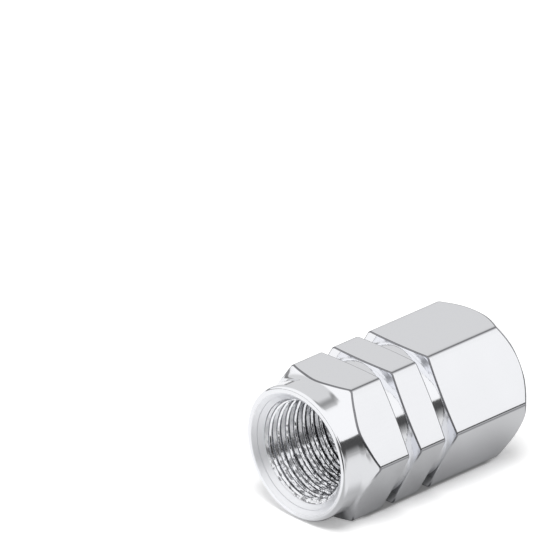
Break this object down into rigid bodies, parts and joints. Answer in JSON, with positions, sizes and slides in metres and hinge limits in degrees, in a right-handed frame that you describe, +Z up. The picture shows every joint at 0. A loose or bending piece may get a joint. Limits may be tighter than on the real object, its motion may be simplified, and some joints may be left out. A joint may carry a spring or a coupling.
{
  "type": "tyre valve cap",
  "caption": "Hexagonal metal dust cap that screws onto a tyre's inflation valve, with a round threaded collar, turned grip grooves and a rubber seal at the blind end of its bore.",
  "frame": {"origin": "middle of the base of the bounding box: the cap lies on one flat of its hexagon, with that flat at z = 0", "axes": "+Y runs along the bore from the open mouth to the closed end, so the mouth faces -Y; +Z is up, square to the flat that the cap lies on"},
  "size_m": [0.0114, 0.0174, 0.01],
  "materials": {
    "bright_aluminium": "turned and bright polished, with fine tool marks in the grooves and the thread",
    "seal_rubber": "matt moulded rubber"
  },
  "bodies": {
    "root": {"cap_body": "bright_aluminium", "seal_washer": "seal_rubber"}
  },
  "joints": []
}
